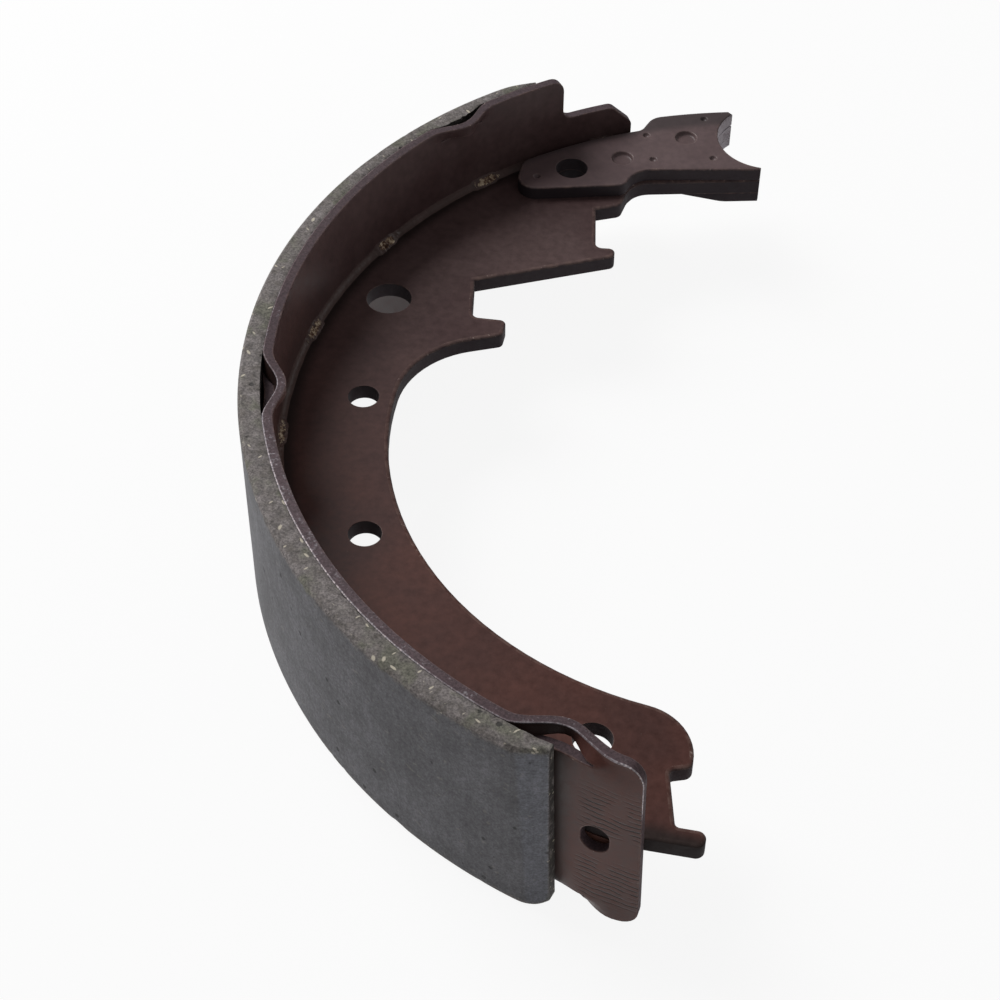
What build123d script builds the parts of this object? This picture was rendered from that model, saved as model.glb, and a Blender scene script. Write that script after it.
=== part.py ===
from build123d import *
import os
from math import acos, atan2, cos, degrees, log, pi, radians, sin, sqrt, tan

# Bonded drum-brake shoe, in millimetres and degrees.
# The Z axis is the drum's axis, and z = 0 is the middle of the shoe's width.
# Angles run anticlockwise from +X about the drum's axis: the anchor end is at the top (+Y),
# the adjuster end at the bottom (-Y), and the lining faces -X.
# A depth is a distance from the rim's inner face towards the drum's axis.

# rim: the curved sheet that carries the lining
rim_inner_radius = 148.1
rim_thickness = 3.0
rim_width = 62.0
rim_anchor_angle = 126.9        # where the full width ends, towards the anchor
rim_anchor_corner_radius = 4.2
rim_adjuster_angle = 261.7
rim_adjuster_skew_angle = 1.6   # slant of the cut, in degrees off the Z direction
rim_adjuster_corner_radius = 5.0
tongue_end_angle = 117.4        # narrow tongue that runs on to the anchor plates
tongue_width = 31.6
tongue_root_radius = 3.5
tongue_chamfer = 7.0
tongue_tip_radius = 3.0

# nibs: strips lanced free along both edges of the rim and bowed inwards
nib_height = 4.0
nib_slit = 0.5                  # height of the sheared gap under a strip
nib_slit_share = 0.62           # share of the bow that is sheared free
nib_thinning = 0.4              # thickness a strip loses where it bows deepest
anchor_nib_angle = 137.4        # where the bow starts
anchor_nib_span_angle = 9.6
anchor_nib_depth = 3.2
anchor_nib_peak = 0.5           # where the bow is deepest, as a share of its span
middle_nib_angle = 189.4
middle_nib_span_angle = 10.8
middle_nib_depth = 4.3
middle_nib_peak = 0.5
adjuster_nib_angle = 248.0
adjuster_nib_span_angle = 11.4
adjuster_nib_depth = 5.8
adjuster_nib_peak = 0.44
adjuster_nib_shift = 0.9        # its cuts lie this much higher than the others

# oblong window in the rim, over the web's edge
window_angle = 257.2
window_width = 7.4
window_height = 9.6

# lining: friction material bonded to the rim, ground to a slightly offset centre
lining_thickness = 3.9          # mean thickness
lining_centre_distance = 2.8    # from the drum's axis to the centre of the ground face
lining_centre_angle = 231.0
lining_anchor_angle = 130.3
lining_anchor_thickness = 1.2   # what the end bevel leaves
lining_anchor_bevel = 8.0       # length of the bevel along the lining
lining_adjuster_angle = 253.1
lining_adjuster_thickness = 3.1
lining_adjuster_bevel = 6.6
lining_adjuster_skew_angle = 1.9  # slant of the end cut, in degrees off the Z direction
lining_bevel_skew_angle = 3.9   # slant of the line where the adjuster bevel starts

# web: the flat crescent that stands square on the middle of the rim
web_thickness = 5.0
waist_depth = 45.45             # inner edge of the crescent, before it is moved off centre
waist_centre_distance = 14.0    # its centre, from the drum's axis
waist_centre_angle = 194.6
punch_angle = 24.4              # direction of the lower edges of lip and hooks
upper_hook_depth = 54.0         # tips of the two hooks, from the rim
upper_hook_angle = 132.7
upper_hook_height = 4.2
lower_hook_depth = 53.7
lower_hook_angle = 164.1
lower_hook_height = 7.0
hook_tip_radius = 2.0
hook_root_radius = 28.0
upper_gap_depth = 47.2          # corner at the root of the upper hook
upper_gap_angle = 134.0
upper_gap_height = 19.1
lower_gap_depth = 41.7
lower_gap_angle = 162.3
lower_gap_height = 17.1
gap_slant_angle = 9.3           # lean of the gaps' back edges from the Y direction
gap_corner_radius = 2.2
lip_depth = 32.6
lip_angle = 124.7
lip_corner_radius = 2.8
neck_depth = 23.4               # inner corner between lip and anchor arm
neck_angle = 120.9
neck_radius = 8.8
heel_depth = 24.5               # tip of the round lobe above the adjuster notch
heel_angle = 264.0
heel_face = 1.24                # height of the lobe's front beyond its radius
heel_corner_radius = 2.5
heel_drop = 2.0                 # fall of its underside towards the back of the notch
adjuster_notch_height = 16.4
adjuster_notch_lean = 3.8
adjuster_notch_radius = 1.5
adjuster_slot_depth = 5.5       # from the heel's face to the back of the notch
tab_height = 5.1                # finger under the adjuster notch
tab_reach = 6.2                 # its tip, past the heel
tab_tip_radius = 2.3
web_step_angle = 116.3          # where the web steps out past the tongue

# anchor end: half-round seat for the anchor pin
anchor_seat_radius = 16.7
anchor_seat_depth = 11.25
anchor_seat_angle = 99.6
inner_tip_land = 1.25           # flat between the seat and the inner tip
inner_tip_angle = 268.2         # direction of that tip from the seat's centre
outer_tip_land = 1.96
shoulder_angle = 114.2          # where the arm drops back inside the rim
shoulder_radius = 6.0
shoulder_foot_radius = 4.0

# holes through the web, as depth, angle and radius
lever_hole_depth = 15.4
lever_hole_angle = 164.6
lever_hole_radius = 6.9
hold_down_hole_depth = 22.6
hold_down_hole_angle = 184.0
hold_down_hole_radius = 4.55
spring_hole_depth = 20.3
spring_hole_angle = 209.0
spring_hole_radius = 4.7
adjuster_hole_depth = 22.8
adjuster_hole_angle = 252.0
adjuster_hole_radius = 5.25

# hole through web and plates together
link_hole_depth = 13.9
link_hole_angle = 128.5
link_hole_radius = 5.15

# anchor plates: two stiffeners projection-welded to the faces of the web
upper_plate_thickness = 4.5
lower_plate_thickness = 3.5
lower_plate_recess = 2.0        # the lower plate is smaller round its free end
lower_plate_break_share = 0.28  # where its inner edge leaves the web's edge, tip to neck
lower_plate_break_radius = 12.0
lower_neck_depth = 17.0
lower_neck_angle = 117.4
plate_rim_gap = 2.8
plate_end_angle = 133.4         # upper corner of the rounded end
plate_toe_depth = 13.4          # lower corner of the rounded end
plate_toe_angle = 137.9
plate_end_radius = 6.0
plate_heel_depth = 28.6         # corner where the lower edge turns up to the neck
plate_heel_angle = 123.3
plate_heel_radius = 3.0
plate_neck_depth = 22.6
plate_neck_angle = 120.1

# round flat-bottomed dents in the upper plate's face, left by the electrodes of two spot welds
spot_dent_radius = 3.6
spot_dent_floor_radius = 3.0
spot_dent_depth = 1.1
neck_dent_depth = 15.4
neck_dent_angle = 121.0
seat_dent_depth = 9.9
seat_dent_angle = 111.0

# dimples in the same face, one over each projection weld
weld_dimple_radius = 1.15
weld_dimple_depth = 0.8
toe_dimple_depth = 12.0
toe_dimple_angle = 133.57
back_dimple_depth = 5.97
back_dimple_angle = 116.1
front_dimple_depth = 18.94
front_dimple_angle = 116.88
outer_seat_dimple_depth = 0.66
outer_seat_dimple_angle = 107.77
inner_seat_dimple_depth = 22.0
inner_seat_dimple_angle = 108.16

# welding between web and rim, the same on both faces of the web
seam_leg = 2.2                  # low fillet that runs the whole way
seam_start_angle = 118.0
seam_end_angle = 259.5
bead_leg = 2.8                  # short fuller beads on top of it
bead_length = 9.0
bead_first_angle = 121.5
bead_step_angle = 17.4
bead_count = 8

# tied sizes
rim_outer_radius = rim_inner_radius + rim_thickness
lining_radius = rim_outer_radius + lining_thickness
waist_radius = rim_inner_radius - waist_depth
rim_half = rim_width / 2
web_top = web_thickness / 2


def polar(radius, angle, height=0.0):
    """Point at a radius and an angle about the drum's axis."""
    return Vector(radius * cos(radians(angle)), radius * sin(radians(angle)), height)


def inboard(depth, angle):
    """Point at a depth inside the rim's inner face."""
    return polar(rim_inner_radius - depth, angle)


def bearing(point):
    """Angle of a point about the drum's axis."""
    return degrees(atan2(point.Y, point.X)) % 360


def on_circle(centre, radius, point):
    """Point of a circle in the direction of another point."""
    return centre + (point - centre).normalized() * radius


def line_to_circle(start, direction, centre, radius):
    """Nearest point ahead of start where a straight line meets a circle."""
    offset = start - centre
    along = offset.dot(direction)
    root = sqrt(along**2 - offset.dot(offset) + radius**2)
    steps = [step for step in (-along - root, -along + root) if step > 0]
    return start + direction * min(steps)


def arc(start, end, centre, radius):
    """Arc of a circle between two of its points, the short way round."""
    middle = on_circle(centre, radius, (start + end) / 2)
    return ThreePointArc(start, middle, end)


def rim_arc(radius, start, end):
    """Arc about the drum's axis from one angle to another."""
    return ThreePointArc(polar(radius, start), polar(radius, (start + end) / 2), polar(radius, end))


def chain(points):
    """Straight edges through a row of points."""
    return [Line(a, b) for a, b in zip(points, points[1:])]


def slab(face, low, high):
    """Plate of a plan face between two heights."""
    return extrude(Pos(0, 0, low) * face, amount=high - low)


def rounded_plate(edges, corners, low, high):
    """Plate inside an outline, with the corner nearest to each point rounded."""
    plate = slab(make_face(edges), low, high)
    for point, radius in corners:
        corner = plate.edges().filter_by(Axis.Z).sort_by_distance(point)[0]
        plate = fillet(corner, radius)
    return plate


def ring_sector(inner, outer, start, end, low, high):
    """Slice of a ring about the drum's axis."""
    edges = [
        rim_arc(outer, start, end),
        Line(polar(outer, end), polar(inner, end)),
        rim_arc(inner, end, start),
        Line(polar(inner, start), polar(outer, start)),
    ]
    return slab(make_face(edges), low, high)


def round_hole(depth, angle, radius):
    """Rod to cut a hole through the web and its plates."""
    centre = inboard(depth, angle)
    return Pos(centre.X, centre.Y) * Cylinder(radius, rim_width / 2)


# ---------------------------------------------------------------- rim

def nib_strip(start, span, depth, peak):
    """Plan face of one bowed strip, a cosine bow that is deepest at a share of its span."""
    fractions = (0.14, 0.3, peak, 0.6, 0.8)
    lean = log(0.5) / log(peak)

    def bow(radius, deepest):
        rises = [deepest * (1 - cos(2 * pi * part**lean)) / 2 for part in fractions]
        points = [
            polar(radius, start),
            *[polar(radius - rise, start + span * part) for rise, part in zip(rises, fractions)],
            polar(radius, start + span),
        ]
        return Spline(*points, tangents=[polar(1, start + 90), polar(1, start + span + 90)])

    inner = bow(rim_inner_radius, depth)
    outer = bow(rim_outer_radius, depth + nib_thinning)
    return make_face([inner, outer, Line(inner @ 0, outer @ 0), Line(inner @ 1, outer @ 1)])


def add_nib(rim, start, span, depth, peak, shift=0.0):
    """Lances one nib on each edge of the rim, its cuts shifted along Z if need be."""
    inner = rim_inner_radius - rim_thickness
    outer = rim_outer_radius + rim_thickness
    slit_start = start + span * (peak - nib_slit_share / 2)
    slit_end = slit_start + span * nib_slit_share
    strip = nib_strip(start, span, depth, peak)
    for side in (1, -1):
        cut = side * (rim_half - nib_height) + shift
        low, high = sorted((cut, side * rim_half))
        slit_low, slit_high = sorted((cut, cut - side * nib_slit))
        rim = rim - ring_sector(inner, outer, start, start + span, low, high)
        rim = rim - ring_sector(inner, outer, slit_start, slit_end, slit_low, slit_high)
        rim = rim + slab(strip, low, high)
    return rim


def end_cutter(corners, angle, skew):
    """Wedge beyond a plan outline, its walls slanted off the Z direction in the rim's surface."""
    slant = (Vector(0, 0, 1) - polar(tan(radians(skew)), angle + 90)).normalized()
    height = rim_width / slant.Z
    foot = slant * (-height / 2)
    return extrude(make_face(chain([corner + foot for corner in corners])), height, dir=slant)


def rim_table():
    inner, outer = rim_inner_radius, rim_outer_radius
    middle = (inner + outer) / 2
    waste = 3                   # degrees of metal left on for the slanted end cut
    end = rim_adjuster_angle
    rim = ring_sector(inner, outer, rim_anchor_angle, end + waste, -rim_half, rim_half)
    rim += ring_sector(
        inner, outer, tongue_end_angle, rim_anchor_angle, -tongue_width / 2, tongue_width / 2
    )
    near, far = inner - rim_thickness, outer + rim_thickness
    corners = [polar(near, end), polar(far, end), polar(far, end + 2 * waste)]
    corners += [polar(near, end + 2 * waste), polar(near, end)]
    rim -= end_cutter(corners, end, rim_adjuster_skew_angle)

    tip_shift = degrees(tongue_chamfer / outer)
    rounds = [
        (rim_anchor_angle, rim_half, rim_anchor_corner_radius),
        (rim_adjuster_angle, rim_half, rim_adjuster_corner_radius),
        (rim_anchor_angle, tongue_width / 2, tongue_root_radius),
        (tongue_end_angle + tip_shift, tongue_width / 2, tongue_tip_radius),
        (tongue_end_angle, tongue_width / 2 - tongue_chamfer, tongue_tip_radius),
    ]
    for side in (1, -1):
        tip = polar(middle, tongue_end_angle, side * tongue_width / 2)
        rim = chamfer(rim.edges().sort_by_distance(tip)[0], tongue_chamfer)
    for angle, height, radius in rounds:
        for side in (1, -1):
            spot = polar(middle, angle, side * height)
            rim = fillet(rim.edges().filter_by(GeomType.LINE).sort_by_distance(spot)[0], radius)

    sight = polar(1, window_angle)
    window = Plane(origin=sight * middle, x_dir=(0, 0, 1), z_dir=sight)
    rim -= extrude(window * SlotOverall(window_height, window_width), rim_thickness, both=True)
    rim = add_nib(rim, anchor_nib_angle, anchor_nib_span_angle, anchor_nib_depth, anchor_nib_peak)
    rim = add_nib(rim, middle_nib_angle, middle_nib_span_angle, middle_nib_depth, middle_nib_peak)
    return add_nib(
        rim,
        adjuster_nib_angle,
        adjuster_nib_span_angle,
        adjuster_nib_depth,
        adjuster_nib_peak,
        adjuster_nib_shift,
    )


# ---------------------------------------------------------------- lining

def lining():
    centre = polar(lining_centre_distance, lining_centre_angle)
    bond = rim_outer_radius
    waste = 4                   # degrees of block left on for the end cuts
    start, end = lining_anchor_angle, lining_adjuster_angle

    def ground_face(angle):
        return line_to_circle(Vector(0, 0, 0), polar(1, angle), centre, lining_radius)

    face_start, face_end = ground_face(start - waste), ground_face(end + waste)
    edges = [
        rim_arc(bond, start - waste, end + waste),
        Line(polar(bond, end + waste), face_end),
        ThreePointArc(face_end, ground_face((start + end) / 2), face_start),
        Line(face_start, polar(bond, start - waste)),
    ]
    block = slab(make_face(edges), -rim_half, rim_half)

    ends = [
        (start, -1, lining_anchor_thickness, lining_anchor_bevel, 0, 0),
        (end, 1, lining_adjuster_thickness, lining_adjuster_bevel,
         lining_adjuster_skew_angle, lining_bevel_skew_angle),
    ]
    for angle, way, left, bevel, end_skew, bevel_skew in ends:
        near, far = bond - left, lining_radius + 4 * left
        beyond = angle + 2 * way * waste
        cut = [polar(near, angle), polar(far, angle), polar(far, beyond), polar(near, beyond)]
        block -= end_cutter([*cut, cut[0]], angle, end_skew)
        lip = polar(bond + left, angle)
        brow = ground_face(angle - way * degrees(bevel / lining_radius))
        run = (lip - brow).normalized()
        rise = (polar(1, angle) - run * polar(1, angle).dot(run)).normalized()
        wedge = [brow - run, lip + run * 2 * bevel]
        wedge += [wedge[1] + rise * 2 * bevel, wedge[0] + rise * 2 * bevel, wedge[0]]
        block -= end_cutter(wedge, angle, bevel_skew)
    return block


# ---------------------------------------------------------------- anchor end, shared by web and plates

def seat_centre():
    return inboard(anchor_seat_depth, anchor_seat_angle)


def seat_inner_tip():
    return seat_centre() + polar(anchor_seat_radius + inner_tip_land, inner_tip_angle)


def outer_tip_angle():
    """Angle at which a circle about the seat's centre meets the rim's outer face."""
    near, far = rim_inner_radius - anchor_seat_depth, rim_outer_radius
    reach = anchor_seat_radius + outer_tip_land
    return anchor_seat_angle + degrees(acos((near**2 + far**2 - reach**2) / (2 * near * far)))


def anchor_seat():
    """Edges from the inner tip, round the pin's seat, to the outer tip and along the arm's back."""
    centre, inner_tip = seat_centre(), seat_inner_tip()
    outer_tip = polar(rim_outer_radius, outer_tip_angle())
    seat_start = on_circle(centre, anchor_seat_radius, inner_tip)
    seat_end = on_circle(centre, anchor_seat_radius, outer_tip)
    away = (centre - (inner_tip + outer_tip) / 2).normalized()
    deepest = centre - away * anchor_seat_radius
    return [
        Line(inner_tip, seat_start),
        ThreePointArc(seat_start, deepest, seat_end),
        Line(seat_end, outer_tip),
        rim_arc(rim_outer_radius, outer_tip_angle(), shoulder_angle),
    ]


def link_hole():
    return round_hole(link_hole_depth, link_hole_angle, link_hole_radius)


# ---------------------------------------------------------------- web

def web():
    waist_centre = polar(waist_centre_distance, waist_centre_angle)
    slant = Vector(cos(radians(punch_angle)), sin(radians(punch_angle)), 0)
    back = Vector(-sin(radians(gap_slant_angle)), cos(radians(gap_slant_angle)), 0)
    up, right = Vector(0, 1, 0), Vector(1, 0, 0)

    # adjuster end
    heel_tip = inboard(heel_depth, heel_angle)
    heel_top = line_to_circle(heel_tip, up, waist_centre, waist_radius)
    heel_radius = (heel_top - heel_tip).length - heel_face
    notch_top = heel_tip - right * adjuster_slot_depth - up * heel_drop
    notch_foot = notch_top + right * adjuster_notch_lean - up * adjuster_notch_height
    tab_top = Vector(heel_tip.X + tab_reach, notch_foot.Y, 0)
    tab_foot = tab_top - up * tab_height
    tab_root = line_to_circle(tab_foot, -right, Vector(0, 0, 0), rim_inner_radius)

    # hooks and gaps
    lower_tip = inboard(lower_hook_depth, lower_hook_angle)
    lower_tip_top = lower_tip + up * lower_hook_height
    lower_gap = inboard(lower_gap_depth, lower_gap_angle)
    lower_gap_top = lower_gap + back * lower_gap_height
    upper_tip = inboard(upper_hook_depth, upper_hook_angle)
    upper_tip_top = upper_tip + up * upper_hook_height
    upper_gap = inboard(upper_gap_depth, upper_gap_angle)
    upper_gap_top = upper_gap + back * upper_gap_height
    waist_end = line_to_circle(lower_tip, -slant, waist_centre, waist_radius)

    # anchor end
    lip_tip = inboard(lip_depth, lip_angle)
    neck = inboard(neck_depth, neck_angle)
    step = [polar(rim_outer_radius, shoulder_angle), polar(rim_inner_radius, web_step_angle)]

    edges = [
        *chain([tab_root, tab_foot, tab_top, notch_foot, notch_top, heel_tip, heel_top]),
        arc(heel_top, waist_end, waist_centre, waist_radius),
        *chain([waist_end, lower_tip, lower_tip_top, lower_gap, lower_gap_top, upper_tip]),
        *chain([upper_tip, upper_tip_top, upper_gap, upper_gap_top, lip_tip, neck, seat_inner_tip()]),
        *anchor_seat(),
        *chain(step),
        rim_arc(rim_inner_radius, web_step_angle, bearing(tab_root)),
    ]
    corners = [
        (tab_foot, tab_tip_radius),
        (tab_top, tab_tip_radius),
        (notch_foot, adjuster_notch_radius),
        (notch_top, adjuster_notch_radius),
        (heel_tip, heel_corner_radius),
        (heel_top, heel_radius),
        (waist_end, hook_root_radius),
        (lower_tip, hook_tip_radius),
        (lower_tip_top, hook_tip_radius),
        (lower_gap, gap_corner_radius),
        (upper_tip, hook_tip_radius),
        (upper_tip_top, hook_tip_radius),
        (upper_gap, gap_corner_radius),
        (lip_tip, lip_corner_radius),
        (neck, neck_radius),
        (step[0], shoulder_radius),
        (step[1], shoulder_foot_radius),
    ]
    plate = rounded_plate(edges, corners, -web_top, web_top) - link_hole()
    plate -= round_hole(lever_hole_depth, lever_hole_angle, lever_hole_radius)
    plate -= round_hole(hold_down_hole_depth, hold_down_hole_angle, hold_down_hole_radius)
    plate -= round_hole(spring_hole_depth, spring_hole_angle, spring_hole_radius)
    return plate - round_hole(adjuster_hole_depth, adjuster_hole_angle, adjuster_hole_radius)


# ---------------------------------------------------------------- anchor plates

def anchor_plate(front, radii, back_radius, low, high):
    """Stiffening plate, from the corners of its front edge (free end first) and their radii."""
    shoulder = polar(rim_outer_radius, shoulder_angle)
    foot = polar(back_radius, web_step_angle)
    edges = [
        *chain([*front, seat_inner_tip()]),
        *anchor_seat(),
        Line(shoulder, foot),
        rim_arc(back_radius, web_step_angle, bearing(front[0])),
    ]
    corners = [*zip(front, radii), (shoulder, shoulder_radius), (foot, shoulder_foot_radius)]
    return rounded_plate(edges, corners, low, high) - link_hole()


def spot_dents(top):
    """Cones to press the two flat-bottomed dents into a face at height top."""
    cone = Cone(spot_dent_floor_radius, spot_dent_radius, spot_dent_depth)
    spots = [(neck_dent_depth, neck_dent_angle), (seat_dent_depth, seat_dent_angle)]
    return [Pos(*polar(rim_inner_radius - depth, angle, top - spot_dent_depth / 2)) * cone
            for depth, angle in spots]


def weld_dimples(top):
    """Balls to press the shallow dimples into a face at height top."""
    ball_radius = (weld_dimple_radius ** 2 + weld_dimple_depth ** 2) / (2 * weld_dimple_depth)
    height = top - weld_dimple_depth + ball_radius
    spots = [
        (toe_dimple_depth, toe_dimple_angle),
        (back_dimple_depth, back_dimple_angle),
        (front_dimple_depth, front_dimple_angle),
        (outer_seat_dimple_depth, outer_seat_dimple_angle),
        (inner_seat_dimple_depth, inner_seat_dimple_angle),
    ]
    return [Pos(*polar(rim_inner_radius - depth, angle, height)) * Sphere(ball_radius)
            for depth, angle in spots]


def upper_anchor_plate():
    back_radius = rim_inner_radius - plate_rim_gap
    front = [
        polar(back_radius, plate_end_angle),
        inboard(plate_toe_depth, plate_toe_angle),
        inboard(plate_heel_depth, plate_heel_angle),
        inboard(plate_neck_depth, plate_neck_angle),
    ]
    radii = [plate_end_radius, plate_end_radius, plate_heel_radius, neck_radius]
    top = web_top + upper_plate_thickness
    plate = anchor_plate(front, radii, back_radius, web_top, top)
    return plate - spot_dents(top) - weld_dimples(top)


def lower_anchor_plate():
    recess = lower_plate_recess
    turn = degrees(recess / rim_inner_radius)
    back_radius = rim_inner_radius - plate_rim_gap - recess
    tip = seat_inner_tip()
    neck = inboard(neck_depth, neck_angle)
    front = [
        polar(back_radius, plate_end_angle - turn),
        inboard(plate_toe_depth - recess, plate_toe_angle - turn),
        inboard(plate_heel_depth - recess, plate_heel_angle + turn),
        inboard(lower_neck_depth, lower_neck_angle),
        tip + (neck - tip) * lower_plate_break_share,
    ]
    radii = [plate_end_radius, plate_end_radius, plate_heel_radius, neck_radius]
    radii += [lower_plate_break_radius]
    return anchor_plate(front, radii, back_radius, -web_top - lower_plate_thickness, -web_top)


# ---------------------------------------------------------------- welding

def fillet_run(leg, start, end, side):
    """Fillet in the corner between web and rim, above (1) or below (-1) the web."""
    profile = [
        Vector(rim_inner_radius, 0, side * web_top),
        Vector(rim_inner_radius, 0, side * (web_top + leg)),
        Vector(rim_inner_radius - leg, 0, side * web_top),
    ]
    face = make_face(chain([*profile, profile[0]]))
    return revolve(Rotation(0, 0, start) * face, axis=Axis.Z, revolution_arc=end - start)


def weld_seams():
    """One run of weld on each face of the web, with fuller beads at even steps."""
    half_bead = degrees(bead_length / rim_inner_radius) / 2
    seams = []
    for side in (1, -1):
        seam = fillet_run(seam_leg, seam_start_angle, seam_end_angle, side)
        for index in range(bead_count):
            middle = bead_first_angle + index * bead_step_angle
            seam += fillet_run(bead_leg, middle - half_bead, middle + half_bead, side)
        seams.append(seam)
    return Compound(children=seams)


parts = {
    "rim_table": rim_table,
    "web": web,
    "upper_anchor_plate": upper_anchor_plate,
    "lower_anchor_plate": lower_anchor_plate,
    "lining": lining,
    "weld_seams": weld_seams,
}

os.makedirs("parts", exist_ok=True)
for name, build in parts.items():
    shape = build()
    export_step(shape, f"parts/{name}.step")
    print(name, len(shape.solids()), "solids", round(shape.volume), "mm3")
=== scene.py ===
import bmesh
import bpy
import numpy as np
from mathutils import Matrix, Vector


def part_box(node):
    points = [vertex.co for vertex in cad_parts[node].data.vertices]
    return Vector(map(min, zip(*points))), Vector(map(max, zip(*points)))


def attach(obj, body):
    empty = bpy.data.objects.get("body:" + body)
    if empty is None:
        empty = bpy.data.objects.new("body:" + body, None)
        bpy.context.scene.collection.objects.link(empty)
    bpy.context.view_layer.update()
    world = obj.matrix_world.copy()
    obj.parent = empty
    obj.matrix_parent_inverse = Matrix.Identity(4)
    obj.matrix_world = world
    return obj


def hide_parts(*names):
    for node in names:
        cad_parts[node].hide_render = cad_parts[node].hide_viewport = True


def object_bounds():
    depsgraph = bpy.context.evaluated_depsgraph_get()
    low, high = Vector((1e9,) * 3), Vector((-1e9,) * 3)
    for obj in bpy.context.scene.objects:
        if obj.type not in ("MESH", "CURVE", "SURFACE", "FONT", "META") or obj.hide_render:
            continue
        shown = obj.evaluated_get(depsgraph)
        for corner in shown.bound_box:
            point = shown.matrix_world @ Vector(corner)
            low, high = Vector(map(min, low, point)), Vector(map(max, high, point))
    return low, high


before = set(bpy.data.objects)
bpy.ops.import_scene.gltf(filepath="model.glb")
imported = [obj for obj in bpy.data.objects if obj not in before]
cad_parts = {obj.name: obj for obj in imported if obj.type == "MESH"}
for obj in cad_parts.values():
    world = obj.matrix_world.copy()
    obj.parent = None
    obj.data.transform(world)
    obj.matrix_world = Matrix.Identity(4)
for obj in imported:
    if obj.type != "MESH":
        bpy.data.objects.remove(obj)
cadLow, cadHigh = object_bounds()
mm = 0.001
print("frame loaded, nodes:", ", ".join(sorted(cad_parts)))


def hexColor(tone):
    # sRGB hex to linear RGBA: below 0.04045 a straight slope of 1/12.92, above it a 2.4 power
    parts = np.array([int(tone[i:i + 2], 16) for i in (1, 3, 5)]) / 255
    linear = np.where(parts <= 0.04045, parts / 12.92, ((parts + 0.055) / 1.055) ** 2.4)
    return (*[float(v) for v in linear], 1.0)


def addNode(tree, kind, inputs=(), output=0, stops=(), **settings):
    # adds one shader node: settings are its own properties; inputs, a list in their order or a
    # dictionary by name, take numbers, hex colours or other nodes' outputs; stops are a ramp's places
    # and tones. Gives back one of the node's outputs, or all of them where output is None
    node = tree.nodes.new("ShaderNode" + kind)
    for key, value in settings.items():
        setattr(node, key, value)
    named = inputs if isinstance(inputs, dict) else dict(enumerate(inputs))
    for key, value in named.items():
        if isinstance(value, bpy.types.NodeSocket):
            tree.links.new(value, node.inputs[key])
        else:
            node.inputs[key].default_value = hexColor(value) if isinstance(value, str) else value
    if stops:
        elements = node.color_ramp.elements
        while len(elements) < len(stops):
            elements.new(0.5)
        for element, (spot, tone) in zip(elements, stops):
            element.position = spot
            element.color = hexColor(tone) if isinstance(tone, str) else (tone, tone, tone, 1)
    return node.outputs if output is None else node.outputs[output]


def emptyMaterial(name):
    material = bpy.data.materials.new(name)
    material.use_nodes = True
    material.node_tree.nodes.clear()
    return material, material.node_tree


def newPiece(name, points, faces, material, nodes=()):
    # points in metres in the frame's axes, faces as rows of point numbers
    mesh = bpy.data.meshes.new(name)
    mesh.from_pydata(points.tolist(), [], faces.tolist())
    mesh.update()
    return showPiece(name, mesh, material, nodes)


def showPiece(name, mesh, material, nodes=()):
    mesh.materials.clear()
    mesh.materials.append(material)
    piece = bpy.data.objects.new(name, mesh)
    bpy.context.scene.collection.objects.link(piece)
    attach(piece, "root")
    if nodes:
        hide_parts(*nodes)
    return piece


def addShares(mesh, shares):
    # point attributes that tell the materials where a finish belongs, each from 0 to 1
    for name, values in shares.items():
        attribute = mesh.attributes.new(name, "FLOAT", "POINT")
        attribute.data.foreach_set("value", np.asarray(values, dtype=np.float32).ravel())


def noiseLine(places, wave, seed):
    # smooth random line from 0 to 1: random values one wave apart, joined by cosine steps
    values = np.random.default_rng(seed).random(4096)
    steps = places / wave
    whole = np.floor(steps).astype(int)
    part = (1 - np.cos(np.pi * (steps - whole))) / 2
    return values[whole % 4096] * (1 - part) + values[(whole + 1) % 4096] * part


def noiseField(across, along, wave, seed):
    # smooth random field from 0 to 1: a random grid one wave apart, joined by cosine steps both ways
    values = np.random.default_rng(seed).random((512, 512))
    a, b = across / wave, along / wave
    i, j = np.floor(a).astype(int), np.floor(b).astype(int)
    p, q = (1 - np.cos(np.pi * (a - i))) / 2, (1 - np.cos(np.pi * (b - j))) / 2
    near, right, above, far = (values[(i + m) % 512, (j + n) % 512] for n in (0, 1) for m in (0, 1))
    return near * (1 - p) * (1 - q) + right * p * (1 - q) + above * (1 - p) * q + far * p * q


def tubeFaces(rings, ringPoints):
    # four-sided faces between neighbouring rings of a closed outline
    ring, spot = np.meshgrid(np.arange(rings - 1), np.arange(ringPoints), indexing="ij")
    after = (spot + 1) % ringPoints
    faces = [ring * ringPoints + spot, ring * ringPoints + after,
             (ring + 1) * ringPoints + after, (ring + 1) * ringPoints + spot]
    return np.stack(faces, axis=-1).reshape(-1, 4)


def smoothMesh(mesh, sharpAngle):
    # smooth shading, with only real corners kept sharp
    mesh.shade_smooth()
    mesh.set_sharp_from_angle(angle=np.radians(sharpAngle))


def closeMesh(mesh, sharpAngle):
    # joins doubled points and turns all faces outwards
    work = bmesh.new()
    work.from_mesh(mesh)
    bmesh.ops.remove_doubles(work, verts=work.verts, dist=1e-6)
    bmesh.ops.dissolve_degenerate(work, dist=1e-7, edges=work.edges)
    bmesh.ops.recalc_face_normals(work, faces=work.faces)
    work.to_mesh(mesh)
    work.free()
    smoothMesh(mesh, sharpAngle)


# settings of nodes used often. A map range takes value, from low, from high, to low, to high
smoothStep = {"interpolation_type": "SMOOTHSTEP"}
times = {"operation": "MULTIPLY"}
timesPlus = {"operation": "MULTIPLY_ADD"}               # the first times the second plus the third
colorMix = {"data_type": "RGBA"}                        # its colour is output 2


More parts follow.
